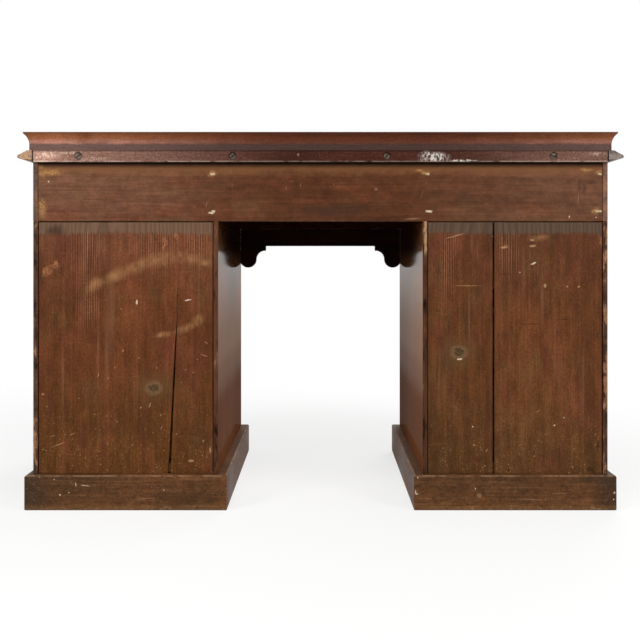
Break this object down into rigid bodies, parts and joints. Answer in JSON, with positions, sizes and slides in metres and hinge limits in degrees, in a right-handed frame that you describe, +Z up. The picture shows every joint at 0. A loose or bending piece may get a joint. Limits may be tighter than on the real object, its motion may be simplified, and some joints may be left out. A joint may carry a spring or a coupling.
{
  "type": "twin pedestal writing desk",
  "caption": "Twin-pedestal wooden writing desk with kneehole, leather-lined top, sliding drawers with turned knobs, shaped apron, plinth bases and a plain boarded back.",
  "frame": {"origin": "on the floor, in the middle of the desk's own box", "axes": "+X along the desk, to the right of a person at the drawers; +Y to the plain back; +Z up"},
  "size_m": [1.218, 0.616, 0.757],
  "materials": {
    "polished_mahogany": "polished, worn",
    "stained_back_boards": "stained, dull",
    "carcass_pine": "bare, aged",
    "drawer_oak": "bare, aged",
    "writing_leather": "tooled, worn",
    "aged_brass": "aged",
    "screw_steel": "dull",
    "nail_iron": "rusted"
  },
  "bodies": {
    "carcass": {"beak_moulding": "polished_mahogany", "bearer_frame": "carcass_pine", "drawer_runners_and_kickers": "carcass_pine", "drawer_stops": "drawer_oak", "frieze_back_board": "stained_back_boards", "frieze_bottom_board": "carcass_pine", "frieze_dividers": "polished_mahogany", "frieze_ends": "polished_mahogany", "frieze_front_rails": "polished_mahogany", "frieze_nails": "nail_iron", "kneehole_apron": "polished_mahogany", "left_pedestal_back_boards": "stained_back_boards", "left_pedestal_bottom_board": "carcass_pine", "left_pedestal_inner_side": "polished_mahogany", "left_pedestal_outer_side": "polished_mahogany", "left_pedestal_plinth": "polished_mahogany", "left_pedestal_top_board": "carcass_pine", "locating_dowels": "drawer_oak", "pedestal_drawer_rails": "polished_mahogany", "plinth_glue_blocks": "carcass_pine", "rear_strip": "polished_mahogany", "rear_strip_screws": "screw_steel", "right_pedestal_back_boards": "stained_back_boards", "right_pedestal_bottom_board": "carcass_pine", "right_pedestal_inner_side": "polished_mahogany", "right_pedestal_outer_side": "polished_mahogany", "right_pedestal_plinth": "polished_mahogany", "right_pedestal_top_board": "carcass_pine", "top_edge_frame": "polished_mahogany", "top_panel": "carcass_pine", "writing_leather": "writing_leather"},
    "frieze_left_drawer": {"frieze_left_drawer_front": "polished_mahogany", "frieze_left_drawer_box": "drawer_oak", "frieze_left_drawer_knobs": "polished_mahogany"},
    "frieze_centre_drawer": {"frieze_centre_drawer_front": "polished_mahogany", "frieze_centre_drawer_box": "drawer_oak", "frieze_centre_drawer_knobs": "polished_mahogany", "centre_drawer_lock": "aged_brass"},
    "frieze_right_drawer": {"frieze_right_drawer_front": "polished_mahogany", "frieze_right_drawer_box": "drawer_oak", "frieze_right_drawer_knobs": "polished_mahogany"},
    "left_upper_drawer": {"left_upper_drawer_front": "polished_mahogany", "left_upper_drawer_box": "drawer_oak", "left_upper_drawer_knobs": "polished_mahogany"},
    "left_middle_drawer": {"left_middle_drawer_front": "polished_mahogany", "left_middle_drawer_box": "drawer_oak", "left_middle_drawer_knobs": "polished_mahogany"},
    "left_lower_drawer": {"left_lower_drawer_front": "polished_mahogany", "left_lower_drawer_box": "drawer_oak", "left_lower_drawer_knobs": "polished_mahogany"},
    "right_upper_drawer": {"right_upper_drawer_front": "polished_mahogany", "right_upper_drawer_box": "drawer_oak", "right_upper_drawer_knobs": "polished_mahogany"},
    "right_middle_drawer": {"right_middle_drawer_front": "polished_mahogany", "right_middle_drawer_box": "drawer_oak", "right_middle_drawer_knobs": "polished_mahogany"},
    "right_lower_drawer": {"right_lower_drawer_front": "polished_mahogany", "right_lower_drawer_box": "drawer_oak", "right_lower_drawer_knobs": "polished_mahogany"},
    "centre_lock_bolt": {"centre_drawer_lock_bolt": "aged_brass"}
  },
  "joints": [
    {"name": "frieze_left_drawer_slide", "type": "slide", "parent": "carcass", "child": "frieze_left_drawer", "axis": [0, -1, 0], "range_m": [0, 0.4]},
    {"name": "frieze_centre_drawer_slide", "type": "slide", "parent": "carcass", "child": "frieze_centre_drawer", "axis": [0, -1, 0], "range_m": [0, 0.4]},
    {"name": "frieze_right_drawer_slide", "type": "slide", "parent": "carcass", "child": "frieze_right_drawer", "axis": [0, -1, 0], "range_m": [0, 0.4]},
    {"name": "left_upper_drawer_slide", "type": "slide", "parent": "carcass", "child": "left_upper_drawer", "axis": [0, -1, 0], "range_m": [0, 0.4]},
    {"name": "left_middle_drawer_slide", "type": "slide", "parent": "carcass", "child": "left_middle_drawer", "axis": [0, -1, 0], "range_m": [0, 0.4]},
    {"name": "left_lower_drawer_slide", "type": "slide", "parent": "carcass", "child": "left_lower_drawer", "axis": [0, -1, 0], "range_m": [0, 0.4]},
    {"name": "right_upper_drawer_slide", "type": "slide", "parent": "carcass", "child": "right_upper_drawer", "axis": [0, -1, 0], "range_m": [0, 0.4]},
    {"name": "right_middle_drawer_slide", "type": "slide", "parent": "carcass", "child": "right_middle_drawer", "axis": [0, -1, 0], "range_m": [0, 0.4]},
    {"name": "right_lower_drawer_slide", "type": "slide", "parent": "carcass", "child": "right_lower_drawer", "axis": [0, -1, 0], "range_m": [0, 0.4]},
    {"name": "centre_lock_bolt_slide", "type": "slide", "parent": "frieze_centre_drawer", "child": "centre_lock_bolt", "axis": [0, 0, 1], "range_m": [0, 0.007]}
  ]
}
